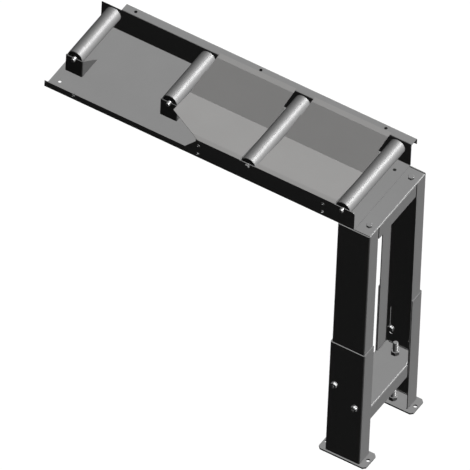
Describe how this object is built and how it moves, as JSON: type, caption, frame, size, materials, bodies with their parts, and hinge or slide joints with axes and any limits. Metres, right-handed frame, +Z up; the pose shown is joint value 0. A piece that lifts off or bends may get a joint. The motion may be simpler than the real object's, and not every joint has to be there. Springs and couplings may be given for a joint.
{
  "type": "roller conveyor",
  "caption": "Feed conveyor with free steel rollers over a sheet-metal drip tray, bolted to a machine at one end and carried by a height-adjustable stand at the other.",
  "frame": {"origin": "centre of the floor anchor hole pattern, on the floor", "axes": "+X from the machine end to the stand end, +Y towards the tray's back flange, +Z up"},
  "size_m": [1.126, 0.3679, 1.027],
  "materials": {
    "frame_paint": "satin",
    "tray_paint": "satin",
    "panel_paint": "satin",
    "stand_paint": "satin",
    "zinc_fasteners": "zinc plated",
    "rod_steel": "threaded, zinc plated",
    "black_screws": "black oxide",
    "axle_steel": "ground",
    "roller_steel": "zinc plated, satin",
    "hub_plastic": "matte",
    "bearing_steel": "dark seals"
  },
  "bodies": {
    "lower_frame": {"lower_leg_front": "frame_paint", "lower_leg_rear": "frame_paint", "foot_plate_front": "frame_paint", "foot_plate_rear": "frame_paint", "clamp_bolts": "zinc_fasteners", "clamp_washers": "zinc_fasteners", "clamp_nuts": "zinc_fasteners", "jack_rods": "rod_steel", "jack_base_nuts": "zinc_fasteners"},
    "upper_frame": {"upper_leg_front": "frame_paint", "upper_leg_rear": "frame_paint", "head_channel": "frame_paint", "cross_shelf": "frame_paint", "jack_nuts_upper": "zinc_fasteners", "jack_nuts_lower": "zinc_fasteners", "extension_bolts": "zinc_fasteners", "extension_nuts": "zinc_fasteners", "tray": "tray_paint", "roller_stand_1": "stand_paint", "roller_stand_2": "stand_paint", "drip_panel_1": "panel_paint", "drip_panel_2": "panel_paint", "panel_brackets": "tray_paint", "wall_screws": "zinc_fasteners", "wall_nuts": "zinc_fasteners", "deck_screws": "black_screws", "deck_nuts": "zinc_fasteners", "axle_1": "axle_steel", "axle_2": "axle_steel", "axle_3": "axle_steel", "axle_4": "axle_steel", "axle_screws_rear": "zinc_fasteners", "axle_screw_front": "zinc_fasteners"},
    "roller_1": {"roller_tube_1": "roller_steel", "bearing_hubs_1": "hub_plastic", "bearings_1": "bearing_steel"},
    "roller_2": {"roller_tube_2": "roller_steel", "bearing_hubs_2": "hub_plastic", "bearings_2": "bearing_steel"},
    "roller_3": {"roller_tube_3": "roller_steel", "bearing_hubs_3": "hub_plastic", "bearings_3": "bearing_steel"},
    "roller_4": {"roller_tube_4": "roller_steel", "bearing_hubs_4": "hub_plastic", "bearings_4": "bearing_steel"}
  },
  "joints": [
    {"name": "stand_lift", "type": "slide", "parent": "lower_frame", "child": "upper_frame", "axis": [0, 0, 1], "range_m": [-0.08, 0.02]},
    {"name": "roller_1_spin", "type": "hinge", "parent": "upper_frame", "child": "roller_1", "pos_m": [-1.002, 0, 1.002], "axis": [0, 1, 0], "continuous": true},
    {"name": "roller_2_spin", "type": "hinge", "parent": "upper_frame", "child": "roller_2", "pos_m": [-0.682, 0, 1.002], "axis": [0, 1, 0], "continuous": true},
    {"name": "roller_3_spin", "type": "hinge", "parent": "upper_frame", "child": "roller_3", "pos_m": [-0.362, 0, 1.002], "axis": [0, 1, 0], "continuous": true},
    {"name": "roller_4_spin", "type": "hinge", "parent": "upper_frame", "child": "roller_4", "pos_m": [-0.042, 0, 1.002], "axis": [0, 1, 0], "continuous": true}
  ]
}
